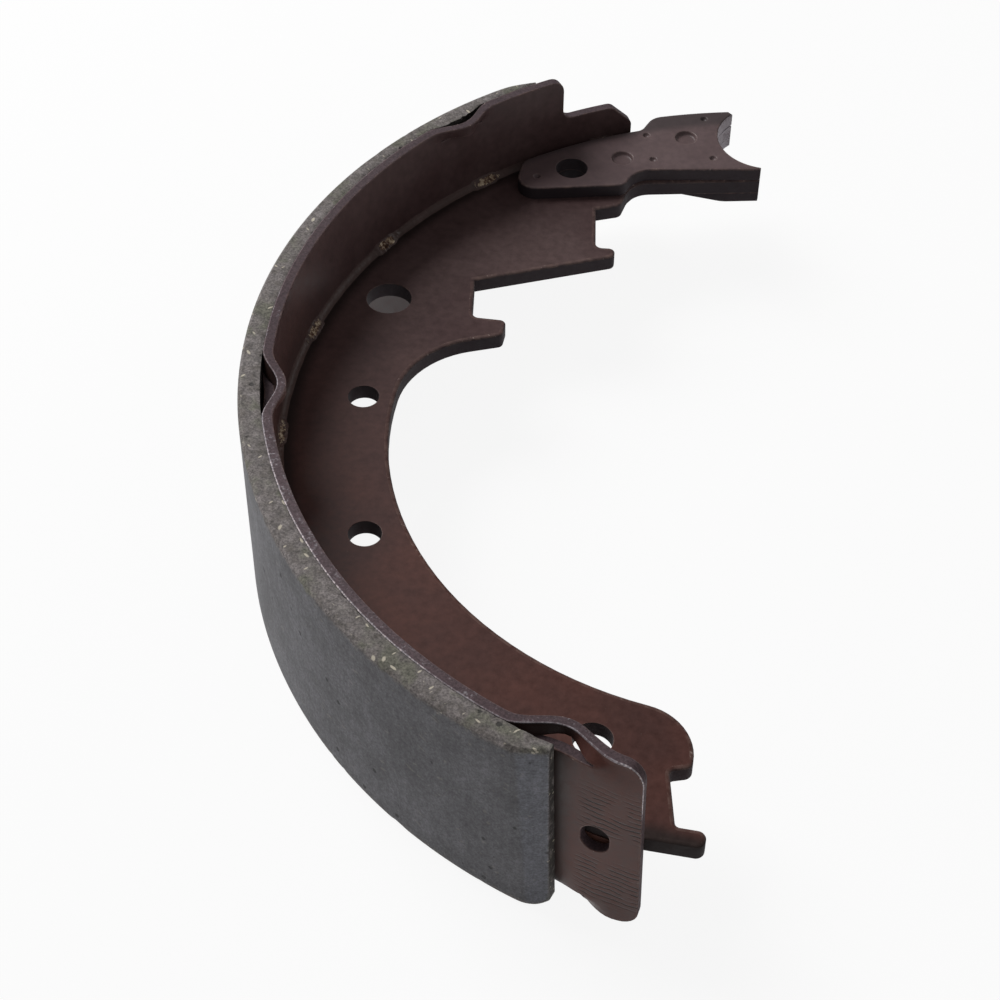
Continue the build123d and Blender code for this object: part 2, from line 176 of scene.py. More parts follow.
def noisePatterns(tree, place, patterns):
    # noise from a table of lump size in metres, detail and roughness. Three more numbers cut it by
    # a smooth step between two levels and give the step's strength
    made = {}
    for name, (size, detail, roughness, *cut) in patterns.items():
        made[name] = addNode(tree, "TexNoise", {"Vector": place, "Scale": 1 / size,
                                                "Detail": detail, "Roughness": roughness})
        if cut:
            low, high, strength = cut
            made[name] = addNode(tree, "MapRange", [made[name], low, high, 0.0, strength], **smoothStep)
    return made


steelPaint = {
    "cool": "#5a4746",          # painted sheen: the dark brown primer greyed and a little violet towards the anchor end
    "coolDeep": "#4a3535",
    "warm": "#57322a",          # the primer's redder brown without the painted sheen, towards the adjuster end
    "warmDeep": "#482a25",
    "warmUpTo": -0.13,          # the change runs between these values of Y in metres
    "coolFrom": 0.04,
    "drift": -0.06,             # how far the clouds bend that change
    "cutEdge": "#252228",       # thin film on the sheared edges, a cold grey, darkened as painted shade
    "rimEdge": "#4d4146",       # the rim's upper edge, a thicker film
    "cornerWorn": "#806860",    # rubbed corners
    # painted glints: pale sparkles on the corners
    "sparkleTone": "#c4b2a8",
    "glint": "#d8cccd",         # painted glint: bright grains along the rim's outer corner
    "dust": "#7d6c64",
    "bare": "#9d969b",          # steel rubbed bright
    "rubbed": "#75686d",        # primer polished thin
    "openSheen": "#93868a",         # painted sheen, greyer and paler, on the upper plate's open face
    "openSheenFrom": 3.5 * mm,      # heights
    "openSheenTo": 6.5 * mm,
    "shadeTone": "#1c1513",         # painted shade: the corner beside the rim, and the rim just past the lining's end
    "cornerShadeFrom": 141.5 * mm,     # distances from the drum's axis
    "cornerShadeTo": 146 * mm,
    # painted shade: the dark of the score lines' grooves
    "score": "#241613",
    "scoreSpace": 1.75 * mm,
    "scoreSlope": 0.1,
    "scoreBend": 2.2 * mm,
    "scoreLine": (0.1 * mm, 0.34 * mm),     # half widths where a line is full and where it ends
    "seamHighlight": "#56493c",        # painted highlight: the seam tinted a lighter olive
    "crust": [(0.42, "#3a2218"), (0.5, "#6b4a35"), (0.6, "#d6c2a6")],   # rust and scale on the weld spots
    # how strongly each finish covers
    "filmShadeCover": 0.8, "cornerShadeCover": 0.8, "openSheenCover": 0.16, "grainCover": 0.6, "contactShadeCover": 0.8,
    "seamHighlightCover": 0.2,
    # worn places: the primer is polished from one share to the next, then flakes off between two levels of
    # the noises added up; a painted glint lies on the edge where it is worn most
    "polished": (0.25, 0.6346), "patchWeight": 0.5, "wornWeight": 0.62, "flaked": (1.01, 1.21),
    "mostWorn": (0.5, 0.7222), "glintWeight": 0.15, "glints": (0.6, 0.74),
    "crustWeight": 0.7, "crusted": (0.86, 1.0),
    "roughness": 0.43,
    "wallRoughness": 0.35,      # added on sheared edges
    "metallic": 0.55,
    "specular": 0.32,
    "bump": 0.06 * mm,          # heights below are in this unit
    "grainHeight": 0.4, "scoreHeight": -4.0, "crustHeight": 6.0,
    "noises": {
        "cloud": (38 * mm, 4.0, 0.55),
        "mottle": (2.4 * mm, 5.0, 0.6),
        "grain": (0.6 * mm, 3.0, 0.5),      # orange peel, really about 0.2 mm, drawn coarse enough to show
        "dust": (1.3 * mm, 6.0, 0.7, 0.64, 0.76, 0.3),
        "rub": (2.6 * mm, 5.0, 0.6, 0.3, 0.75, 0.5),
        "cornerSparkle": (1.1 * mm, 5.0, 0.7, 0.62, 0.7, 0.6),
        "flake": (0.8 * mm, 5.0, 0.7),
        "patch": (5.0 * mm, 2.0, 0.5),
    },
    # what each kind of piece needs besides
    "plate": {"noises": {}, "shares": ()},
    "rim": {"noises": {"shear": (0.7 * mm, 4.0, 0.7), "bend": (6.5 * mm, 3.0, 0.5),
                       "broken": (6.0 * mm, 3.0, 0.5, 0.34, 0.5, 1.0)}, "shares": ("score", "contactShade")},
    "weld": {"noises": {"scale": (1.5 * mm, 6.0, 0.75)}, "shares": ("crust",)},
}


def makePrimedSteel(name, kind):
    # dip-primed stamped steel: a thin dark brown film with a satin skin, thinner and greyer on sheared
    # edges, rubbed pale on corners and worn down to steel in places. Painted light on it: shade on sheared
    # edges, beside the rim, in score lines and past the lining's end; sheen towards the anchor end and on
    # the upper plate; glints on corners and on the rim's rubbed edge; a highlight over the seam; a
    # reflection in the anchor pin's seat
    n = steelPaint
    material, tree = emptyMaterial(name)
    place = addNode(tree, "TexCoord", output="Object")
    x, y, z = addNode(tree, "SeparateXYZ", {"Vector": place}, None)
    noise = noisePatterns(tree, place, {**n["noises"], **n[kind]["noises"]})
    share = {}
    for key in ("wall", "corner", "bare", *n[kind]["shares"]):
        share[key] = addNode(tree, "Attribute", output="Fac", attribute_name=key + "Share")

    # two pairs of tones, one giving way to the other along Y: the cool pair towards the anchor end is
    # painted sheen
    bent = addNode(tree, "Math", [noise["cloud"], n["drift"], y], **timesPlus)
    toCool = addNode(tree, "MapRange", [bent, n["warmUpTo"], n["coolFrom"]], **smoothStep)
    warm = addNode(tree, "ValToRGB", [noise["cloud"]], stops=[(0.36, n["warmDeep"]), (0.6, n["warm"])])
    cool = addNode(tree, "ValToRGB", [noise["cloud"]], stops=[(0.36, n["coolDeep"]), (0.6, n["cool"])])
    base = addNode(tree, "Mix", {0: toCool, 6: warm, 7: cool}, 2, **colorMix)

    # layers over it: share, colour, and the way it is laid on
    mottle = addNode(tree, "ValToRGB", [noise["mottle"]], stops=[(0.3, 0.32), (0.7, 0.68)])
    # sheared edges: the film's colour, on plates also darkened as painted shade
    wallFilmShade = addNode(tree, "Math", [share["wall"], n["filmShadeCover"]], **times)
    rub = addNode(tree, "Math", [share["corner"], noise["rub"]], **times)
    # painted glints: pale sparkles scattered on the corners
    cornerSparkle = addNode(tree, "Math", [share["corner"], noise["cornerSparkle"]], **times)
    layers = [(0.5, mottle, "OVERLAY"), (noise["dust"], n["dust"], "MIX"),
              (wallFilmShade, n["rimEdge" if kind == "rim" else "cutEdge"], "MIX"),
              (rub, n["cornerWorn"], "MIX"), (cornerSparkle, n["sparkleTone"], "MIX")]
    if kind == "plate":
        # painted shade in the corner beside the rim, by distance from the drum's axis; painted sheen on the
        # upper plate's open face
        flat = addNode(tree, "VectorMath", [place, (1, 1, 0)], **times)
        radial = addNode(tree, "VectorMath", [flat], "Value", operation="LENGTH")
        cornerShade = addNode(tree, "MapRange", [radial, n["cornerShadeFrom"], n["cornerShadeTo"], 0.0, n["cornerShadeCover"]],
                       **smoothStep)
        openSheen = addNode(tree, "MapRange", [z, n["openSheenFrom"], n["openSheenTo"], 0.0, n["openSheenCover"]],
                        **smoothStep)
        openFace = addNode(tree, "Math", [1.0, share["wall"]], operation="SUBTRACT")
        openSheen = addNode(tree, "Math", [openSheen, openFace], **times)
        layers += [(cornerShade, n["shadeTone"], "MIX"), (openSheen, n["openSheen"], "MIX")]

    # where the piece says it is rubbed, the primer is polished thin and then gone in flakes: a smooth step
    # of two noises and the share added up. In the anchor pin's seat this is a painted reflection
    polished = addNode(tree, "MapRange", [share["bare"], *n["polished"]])
    flakes = addNode(tree, "Math", [noise["patch"], n["patchWeight"], noise["flake"]], **timesPlus)
    flakes = addNode(tree, "Math", [share["bare"], n["wornWeight"], flakes], **timesPlus)
    metal = addNode(tree, "MapRange", [flakes, *n["flaked"]], **smoothStep)
    layers += [(polished, n["rubbed"], "MIX"), (metal, n["bare"], "MIX")]

    height = addNode(tree, "Math", [noise["grain"], n["grainHeight"]], **times)
    if kind == "rim":
        # the sheared edge is grainy, and a painted glint runs in a broken line along its outer corner where
        # it is rubbed most
        grainy = addNode(tree, "Math", [share["wall"], n["grainCover"]], **times)
        grains = addNode(tree, "ValToRGB", [noise["shear"]], stops=[(0.35, 0.22), (0.65, 0.78)])
        most = addNode(tree, "MapRange", [share["bare"], *n["mostWorn"]])
        glint = addNode(tree, "Math", [most, n["glintWeight"], noise["shear"]], **timesPlus)
        glint = addNode(tree, "MapRange", [glint, *n["glints"]], **smoothStep)
        glint = addNode(tree, "Math", [glint, most], **times)
        # score lines on the free end: bands of Z plus a tenth of X, bent by noise, bumped in and darkened by
        # painted shade
        level = addNode(tree, "Math", [x, n["scoreSlope"], z], **timesPlus)
        level = addNode(tree, "Math", [noise["bend"], n["scoreBend"], level], **timesPlus)
        band = addNode(tree, "Math", [level, n["scoreSpace"] / 2], operation="PINGPONG")
        line = addNode(tree, "MapRange", [band, *n["scoreLine"], 1.0, 0.0], **smoothStep)
        line = addNode(tree, "Math", [line, noise["broken"]], **times)
        line = addNode(tree, "Math", [line, share["score"]], **times)
        height = addNode(tree, "Math", [line, n["scoreHeight"], height], **timesPlus)
        # painted contact shadow on the rim just past the lining's end
        contactShade = addNode(tree, "Math", [share["contactShade"], n["contactShadeCover"]], **times)
        layers += [(grainy, grains, "OVERLAY"), (glint, n["glint"], "MIX"),
                   (line, n["score"], "MIX"), (contactShade, n["shadeTone"], "MIX")]
    if kind == "weld":
        # painted highlight over the seam, and flakes of scale where the weld spots are
        crust = addNode(tree, "ValToRGB", [noise["scale"]], stops=n["crust"])
        shown = addNode(tree, "Math", [share["crust"], n["crustWeight"], noise["scale"]], **timesPlus)
        shown = addNode(tree, "MapRange", [shown, *n["crusted"]], **smoothStep)
        flaky = addNode(tree, "Math", [share["crust"], noise["scale"]], **times)
        height = addNode(tree, "Math", [flaky, n["crustHeight"], height], **timesPlus)
        layers += [(n["seamHighlightCover"], n["seamHighlight"], "MIX"), (shown, crust, "MIX")]
    for amount, tone, way in layers:
        base = addNode(tree, "Mix", {0: amount, 6: base, 7: tone}, 2, blend_type=way, **colorMix)

    duller, shinier = n["roughness"] + 0.08, n["roughness"] - 0.05
    skin = addNode(tree, "MapRange", [noise["mottle"], 0.3, 0.7, shinier, duller])
    rough = addNode(tree, "Math", [share["wall"], n["wallRoughness"], skin], **timesPlus)
    metallic = addNode(tree, "Math", [metal, n["metallic"]], **times)
    bump = addNode(tree, "Bump", {"Strength": 0.6, "Distance": n["bump"], "Height": height})
    shader = addNode(tree, "BsdfPrincipled", {
        "Base Color": base, "Roughness": rough, "Metallic": metallic, "Normal": bump,
        "Specular IOR Level": n["specular"], "IOR": 1.5})
    addNode(tree, "OutputMaterial", {"Surface": shader}, None)
    return material


frictionMix = {
    "face": "#6d6c70",          # ground face: cool grey
    "faceDark": "#5a595c",
    "side": "#7d7675",          # unground moulded side, warmer
    "sideDark": "#5b5550",
    "olive": "#67655a",         # resin showing in the sides
    "bevel": "#787b86",         # freshly ground end bevels, bluish
    "sawn": "#2f2c28",          # rough dark end faces and bonded back
    "pit": "#232220",
    "fibre": "#cfc6b4",         # cut ends of glass and aramid fibre
    "skinOver": 1.3,            # how raggedly the side's skin runs over the corner on to the face
    "wipe": 0.06,               # grinding marks: a noise drawn out along Z by one over this
    "bevelCover": 0.35, "sawnCover": 0.85, "pitCover": 0.8,
    "roughness": 0.72,
    "bump": 0.12 * mm,
    "pitHeight": -2.5,          # in that unit
    "noises": {
        "cloud": (14 * mm, 5.0, 0.6),
        "edge": (3.5 * mm, 6.0, 0.7),
        "olive": (7.0 * mm, 4.0, 0.5, 0.5, 0.66, 1.0),
        "saw": (1.8 * mm, 4.0, 0.5, 0.34, 0.5, 1.0),
        "speckle": (0.6 * mm, 3.0, 0.65),
        "coarse": (1.7 * mm, 4.0, 0.6),
        "skin": (2.2 * mm, 5.0, 0.65),
    },
    "streak": (1.6 * mm, 4.0, 0.6),
    # spots: mean spacing, how much longer than wide, lean about Z, share of cells used, reach
    "pits": (5.0 * mm, 1.0, 0.0, 0.6, 0.2),
    "fibres": [(1.4 * mm, 5.0, 0.9, 0.28, 0.26), (1.6 * mm, 5.0, -0.6, 0.28, 0.26),
               (1.9 * mm, 4.0, 2.3, 0.26, 0.26), (2.7 * mm, 2.4, 1.5, 0.13, 0.26)],
}


def cellSpots(tree, place, space, stretch, lean, used, reach):
    # one spot in some cells of a Voronoi pattern: longer than wide and leaning about Z, its size
    # drawn from the cell's own random colour, its edge ragged
    turned = addNode(tree, "Mapping", {"Vector": place, "Rotation": (0.5, 0.3, lean),
                                       "Scale": (stretch, 1.0, 1.0)}, vector_type="TEXTURE")
    cell = addNode(tree, "TexVoronoi", {"Vector": turned, "Scale": 1 / space}, None)
    pick = addNode(tree, "SeparateColor", {"Color": cell["Color"]}, "Red")
    size = addNode(tree, "MapRange", [pick, 1 - used, 1.0, 0.0, reach], **smoothStep)
    ragged = noisePatterns(tree, place, {"edge": (0.5 * mm, 2.0, 0.5)})["edge"]
    away = addNode(tree, "Math", [ragged, 0.12, cell["Distance"]], **timesPlus)
    inside = addNode(tree, "Math", [size, away], operation="SUBTRACT")
    return addNode(tree, "MapRange", [inside, -0.06, 0.03], **smoothStep)


def makeFrictionLining():
    # moulded friction mix: resin, graphite and fibre pressed into a dull grey block, its drum face
    # ground smooth and its sides left from the mould, with dark pits and pale fibre ends
    n = frictionMix
    material, tree = emptyMaterial("mouldedFrictionMix")
    place = addNode(tree, "TexCoord", output="Object")
    noise = noisePatterns(tree, place, n["noises"])
    share = {}
    for key in ("side", "bevel", "end"):
        share[key] = addNode(tree, "Attribute", output="Fac", attribute_name=key + "Share")

    # side or ground face: a smooth step of the side's share plus noise
    side = addNode(tree, "Math", [noise["skin"], n["skinOver"], share["side"]], **timesPlus)
    side = addNode(tree, "MapRange", [side, n["skinOver"] / 2 + 0.3, n["skinOver"] / 2 + 0.8], **smoothStep)
    face = addNode(tree, "ValToRGB", [noise["cloud"]], stops=[(0.35, n["faceDark"]), (0.62, n["face"])])
    edge = addNode(tree, "ValToRGB", [noise["edge"]], stops=[(0.34, n["sideDark"]), (0.58, n["side"])])
    edge = addNode(tree, "Mix", {0: noise["olive"], 6: edge, 7: n["olive"]}, 2, **colorMix)
    base = addNode(tree, "Mix", {0: side, 6: face, 7: edge}, 2, **colorMix)

    bevel = addNode(tree, "Math", [share["bevel"], n["bevelCover"]], **times)
    sawn = addNode(tree, "Math", [share["end"], noise["saw"]], use_clamp=True, **times)
    sawn = addNode(tree, "Math", [sawn, n["sawnCover"]], **times)
    speck = addNode(tree, "Math", [side, 0.3, 0.45], **timesPlus)
    speckles = addNode(tree, "ValToRGB", [noise["speckle"]], stops=[(0.35, 0.2), (0.65, 0.8)])
    lumps = addNode(tree, "ValToRGB", [noise["coarse"]], stops=[(0.35, 0.3), (0.65, 0.7)])
    drawn = addNode(tree, "Mapping", {"Vector": place, "Scale": (1.0, 1.0, n["wipe"])})
    streak = noisePatterns(tree, drawn, {"streak": n["streak"]})["streak"]
    streaks = addNode(tree, "ValToRGB", [streak], stops=[(0.35, 0.25), (0.65, 0.75)])
    wiped = addNode(tree, "Math", [side, -0.16, 0.16], **timesPlus)
    pit = cellSpots(tree, place, *n["pits"])
    pitted = addNode(tree, "Math", [pit, n["pitCover"]], **times)
    layers = [(bevel, n["bevel"], "MIX"), (sawn, n["sawn"], "MIX"), (speck, speckles, "OVERLAY"),
              (0.45, lumps, "OVERLAY"), (wiped, streaks, "OVERLAY"), (pitted, n["pit"], "MIX")]
    strong = addNode(tree, "Math", [side, 0.75, 0.12], **timesPlus)
    for spots in n["fibres"]:
        fibre = addNode(tree, "Math", [cellSpots(tree, place, *spots), strong], **times)
        layers.append((fibre, n["fibre"], "MIX"))
    for amount, tone, way in layers:
        base = addNode(tree, "Mix", {0: amount, 6: base, 7: tone}, 2, blend_type=way, **colorMix)

    rough = addNode(tree, "Math", [side, 0.3], operation="ADD")
    height = addNode(tree, "Math", [noise["speckle"], rough], **times)
    height = addNode(tree, "Math", [pit, n["pitHeight"], height], **timesPlus)
    bump = addNode(tree, "Bump", {"Strength": 0.6, "Distance": n["bump"], "Height": height})
    shader = addNode(tree, "BsdfPrincipled", {
        "Base Color": base, "Roughness": n["roughness"], "Normal": bump, "IOR": 1.5})
    addNode(tree, "OutputMaterial", {"Surface": shader}, None)
    return material


primedSteel = makePrimedSteel("dipPrimedSteel", "plate")
primedRim = makePrimedSteel("dipPrimedRim", "rim")
primedWeld = makePrimedSteel("dipPrimedWeld", "weld")
frictionLining = makeFrictionLining()
for nodeName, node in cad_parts.items():
    node.data.materials.clear()
    node.data.materials.append(frictionLining if nodeName == "lining" else primedSteel)
print("materials made")


def cleanLoop(loop, nearest=0.02):
    # leaves out points that lie almost on their neighbour
    gap = np.linalg.norm(loop - np.roll(loop, 1, axis=0), axis=1)
    return loop[gap > nearest]


def inwardSteps(loop):
    # at each point the two edges' left-hand normals are added and divided by one plus their
    # product, so that a step of one keeps both edges one unit away
    edge = np.roll(loop, -1, axis=0) - loop
    edge /= np.linalg.norm(edge, axis=1, keepdims=True)
    left = np.stack([-edge[:, 1], edge[:, 0]], axis=1)
    before = np.roll(left, 1, axis=0)
    return (left + before) / np.maximum(1 + np.sum(left * before, axis=1, keepdims=True), 0.35)


def signedArea(loop):
    # half the sum of the cross products of neighbouring points
    return np.sum(loop[:, 0] * np.roll(loop[:, 1], -1) - np.roll(loop[:, 0], -1) * loop[:, 1]) / 2


def windLoops(loops):
    # the first loop is the outside and runs anticlockwise, the others clockwise
    return [q if (signedArea(q) > 0) == (i == 0) else q[::-1] for i, q in enumerate(loops)]


def turnedRows(low, high, turnLow, turnHigh, roll, hold=0.12):
    # rows of a plate's rim as (inset, height, share of the corner, share of the wall). At the top a
    # quarter of an ellipse, as the punch rolls it: its inset the roll times one less the sine, its
    # drop the turn times one less the cosine. At the bottom a quarter circle
    a = np.radians([0, 22, 45, 67, 90])
    top = [(roll * (1 - np.sin(v)), high - turnHigh * (1 - np.cos(v)), 1, np.sin(v) ** 3) for v in a]
    bottom = [(turnLow * (1 - np.sin(v)), low + turnLow * (1 - np.cos(v)), 1, np.sin(v)) for v in a[::-2]]
    return [(roll + hold, high, 0, 0), *top, (0, high - turnHigh - hold, 0, 1),
            (0, low + turnLow + hold, 0, 1), *bottom, (turnLow + hold, low, 0, 0)]


def plateMesh(loops, rows, holeRows, dents=()):
    # every loop is carried through its rows; the first and the last row are filled, holes left open.
    # A dent is a stack of rings in the upper face, given as x, y, radius and (radius share, depth)
    stacks = []
    for i, loop in enumerate(loops):
        inset, height, corner, wall = np.array(holeRows if i else rows, float).T
        stacks.append((loop + inwardSteps(loop) * inset[:, None, None], height, corner, wall))
    turn = np.linspace(0, 2 * np.pi, 37)[:-1]
    circle = np.stack([np.cos(turn), np.sin(turn)], axis=1)
    for x, y, radius, profile in dents:
        width, drop = np.array(profile).T
        rings = circle * radius * width[:, None, None] + (x, y)
        stacks.append((rings, rows[0][1] - drop, (drop > 0) & (drop < 0.3), 0 * drop))
    points, quads, shares, first = [], [], [], 0
    for rings, *values in stacks:
        count, around = rings.shape[:2]
        height, corner, wall = (np.repeat(np.asarray(v, float)[:, None], around, axis=1) for v in values)
        points.append(np.dstack([rings, height]).reshape(-1, 3))
        shares.append(np.dstack([corner, wall]).reshape(-1, 2))
        i, j = np.arange(count - 1)[:, None] * around + first, np.arange(around)
        k = np.roll(j, -1)
        quads.append(np.dstack([i + j, i + k, i + around + k, i + around + j]).reshape(-1, 4))
        first += count * around
    mesh = bpy.data.meshes.new("plate")
    mesh.from_pydata(np.concatenate(points).tolist(), [], np.concatenate(quads).tolist())
    cornerShare, wallShare = np.concatenate(shares).T
    addShares(mesh, {"cornerShare": cornerShare, "wallShare": wallShare})
    work = bmesh.new()
    work.from_mesh(mesh)
    bpy.data.meshes.remove(mesh)
    unfilled = [e for e in work.edges if len(e.link_faces) == 1]
    for level in (rows[0][1], rows[-1][1]):
        lid = [e for e in unfilled if abs(e.verts[0].co.z - level) < 1e-4]
        bmesh.ops.triangle_fill(work, use_beauty=True, edges=lid)
    bmesh.ops.holes_fill(work, edges=[e for e in unfilled if len(e.link_faces) == 1], sides=0)
    bmesh.ops.recalc_face_normals(work, faces=work.faces)
    return work


def topOutlines(nodeName):
    # the node's upper flat face: the edges with one face on it, walked into closed loops, in mm
    work = bmesh.new()
    work.from_mesh(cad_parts[nodeName].data)
    bmesh.ops.remove_doubles(work, verts=work.verts, dist=2e-6)
    top = max(v.co.z for v in work.verts)
    flat = {f for f in work.faces if f.normal.z > 0.99 and abs(f.calc_center_median().z - top) < 1e-6}
    rim = [e for e in work.edges if len(flat.intersection(e.link_faces)) == 1]
    loops = []
    while rim:
        edge = rim.pop()
        first, spot = edge.verts
        loop = [first.co.copy()]
        while spot is not first:
            loop.append(spot.co.copy())
            edge = next(e for e in spot.link_edges if e in rim)
            rim.remove(edge)
            spot = edge.other_vert(spot)
        loops.append(cleanLoop(np.array([(p.x, p.y) for p in loop]) / mm))
    work.free()
    return windLoops(sorted(loops, key=lambda q: -abs(signedArea(q))))


stampedPlates = {
    # millimetres: how far the upper and lower corners are turned, and how far the punch rolls the top
    "plates": {
        "web": {"piece": "webPlate", "turnLow": 0.15, "turnHigh": 0.5, "roll": 1.15},
        "upper_anchor_plate": {"piece": "upperAnchorPlate", "turnLow": 0.15, "turnHigh": 0.45, "roll": 0.7},
        "lower_anchor_plate": {"piece": "lowerAnchorPlate", "turnLow": 0.3, "turnHigh": 0.15, "roll": 0.15},
    },
    "holes": {"turnLow": 0.1, "turnHigh": 0.12, "roll": 0.12},
    # round outlines up to the first radius are dents, up to the second ball-shaped ones; profiles are
    # shares of the radius and depths
    "largestDent": 4.2,
    "largestBall": 2.0,
    "ball": [(1.4, 0), (1.12, 0.03), (1.0, 0.14), (0.88, 0.42), (0.7, 0.68), (0.45, 0.86), (0.15, 0.92)],
    "flat": [(1.1, 0), (1.02, 0.04), (0.98, 0.18), (0.94, 0.6), (0.9, 1.0), (0.83, 1.2), (0.7, 1.27)],
    # the anchor pin's seat, and how much of its wall is painted pale and bare steel: a painted reflection
    "seatX": -22.8, "seatY": 134.9, "seatRadius": 16.7, "seatReach": 0.9, "seatShine": 0.72,
    "sharpAngle": 40,
}


def makeStampedPlate(nodeName, plate):
    n = stampedPlates
    low, high = (corner[2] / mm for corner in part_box(nodeName))
    rows = turnedRows(low, high, plate["turnLow"], plate["turnHigh"], plate["roll"])
    holeRows = turnedRows(low, high, **n["holes"])
    loops, dents = [], []
    for loop in topOutlines(nodeName):
        radius = np.sqrt(abs(signedArea(loop)) / np.pi)
        if radius > n["largestDent"]:
            loops.append(loop)
        else:
            dents.append((*loop.mean(axis=0), radius, n["ball" if radius < n["largestBall"] else "flat"]))
    work = plateMesh(loops, rows, holeRows, dents)
    bmesh.ops.scale(work, vec=(mm, mm, mm), verts=work.verts)
    mesh = bpy.data.meshes.new(plate["piece"])
    work.to_mesh(mesh)
    work.free()
    # painted reflection in the seat, laid on as worn bright steel: wall points whose distance from the
    # seat's centre is nearly its radius
    place, wall = np.empty(len(mesh.vertices) * 3), np.empty(len(mesh.vertices), dtype=np.float32)
    mesh.vertices.foreach_get("co", place)
    mesh.attributes["wallShare"].data.foreach_get("value", wall)
    x, y, _ = place.reshape(-1, 3).T / mm
    away = np.abs(np.hypot(x - n["seatX"], y - n["seatY"]) - n["seatRadius"])
    addShares(mesh, {"bareShare": n["seatShine"] * np.clip(1.6 - away / n["seatReach"], 0, 1) * (wall > 0.4)})
    smoothMesh(mesh, n["sharpAngle"])
    return showPiece(plate["piece"], mesh, primedSteel, [nodeName])


for nodeName, plate in stampedPlates["plates"].items():
    makeStampedPlate(nodeName, plate)
print("web and anchor plates made")


rimShape = {
    # millimetres, and degrees about the drum's axis
    "inner": 148.1, "thickness": 3.0, "half": 31.0, "middle": 149.6,
    "tongueAngle": 117.4, "tongueHalf": 15.8, "tongueCut": 7.0, "tongueTip": 3.0, "tongueRoot": 3.5,
    "anchorAngle": 126.9, "anchorCorner": 4.2,
    "adjusterAngle": 261.7, "adjusterSkew": 1.6, "adjusterCorner": 5.0,
    "windowAngle": 257.2, "windowWidth": 7.4, "windowHeight": 9.6,
    "turnOuter": 0.35, "turnInner": 0.3, "hold": 0.15, "sharpAngle": 42,
    # the blank is cut fine enough to roll: along it from the tongue on, and across it
    "firstCut": 1.3, "cutStep": 1.6,
    "cutsAcross": (-29.4, -27.7, -25.2, -23.6, -20, -15, -10, -6, -2, 2, 6, 10, 15, 20, 23.6, 25.2, 29.4),
    # nibs: angles where the bow starts, is deepest and ends, its depth, the slit's first and last
    # angle, shift of the slit along Z
    "nibs": [(137.2, 142.0, 147.0, 3.9, 139.0, 145.4, 0.0), (189.4, 194.8, 200.2, 4.3, 191.0, 198.6, 0.0),
             (247.3, 253.0, 259.5, 5.8, 248.4, 256.5, 0.9)],
    "nibHeight": 4.0, "slit": 0.3, "thinning": 0.13, "drag": 0.22, "dragLength": 2.4,
    # past the adjuster nib the upper corner stays pulled in and the lower one hangs out
    "tailFrom": 255.0, "tailIn": 4.5, "tailTo": 262.6, "tailOut": 3.5, "tailMiddle": 0.9,
    "tailCalm": 20, "tailReach": 9, "pulledIn": 1.5, "hangsOut": -0.44,
    # how much the upper edge is rubbed, by angle
    "rubbedAngles": (126, 150, 190, 197, 206, 236, 242, 262),
    "rubbedShares": (0.25, 0.35, 0.45, 0.6, 0.72, 0.72, 0.6, 0.55),
    "scoreFrom": 255.2, "scoreBands": (11.5, -16.5), "scoreHalf": 9.5,
    "contactShadeFrom": 130.2, "contactShadeTo": 253.4,
}


def roundedOutline(corners, pieces=7):
    # corners are (x, y, radius); each is replaced by an arc that touches both of its edges: it
    # starts the radius over the tangent of half the corner's angle away from the corner
    spots = np.array([c[:2] for c in corners], float)
    out = []
    for i, (_, _, radius) in enumerate(corners):
        here = spots[i]
        a = spots[i - 1] - here
        b = spots[(i + 1) % len(spots)] - here
        a, b = a / np.linalg.norm(a), b / np.linalg.norm(b)
        half = np.arccos(np.clip(a @ b, -1, 1)) / 2
        centre = here + (a + b) / np.linalg.norm(a + b) * radius / np.sin(half)
        start, end = here + a * radius / np.tan(half), here + b * radius / np.tan(half)
        t = np.linspace(0, 1, pieces)[:, None]
        lean = np.arccos(np.clip(((start - centre) @ (end - centre)) / radius ** 2, -1, 1))
        arc = (np.sin((1 - t) * lean) * (start - centre) + np.sin(t * lean) * (end - centre)) / np.sin(lean)
        out.append(centre + arc)
    return np.concatenate(out)


def nibBow(angle, start, peak, end):
    # a cosine bow: half of one less the cosine of a full turn, the turn's share raised to a power
    # that puts its top at the peak
    part = np.clip((angle - start) / (end - start), 0, 1)
    return (1 - np.cos(2 * np.pi * part ** (np.log(0.5) / np.log((peak - start) / (end - start))))) / 2


def rimArc(angle):
    # arc length on the middle of the sheet
    return np.radians(angle) * rimShape["middle"]


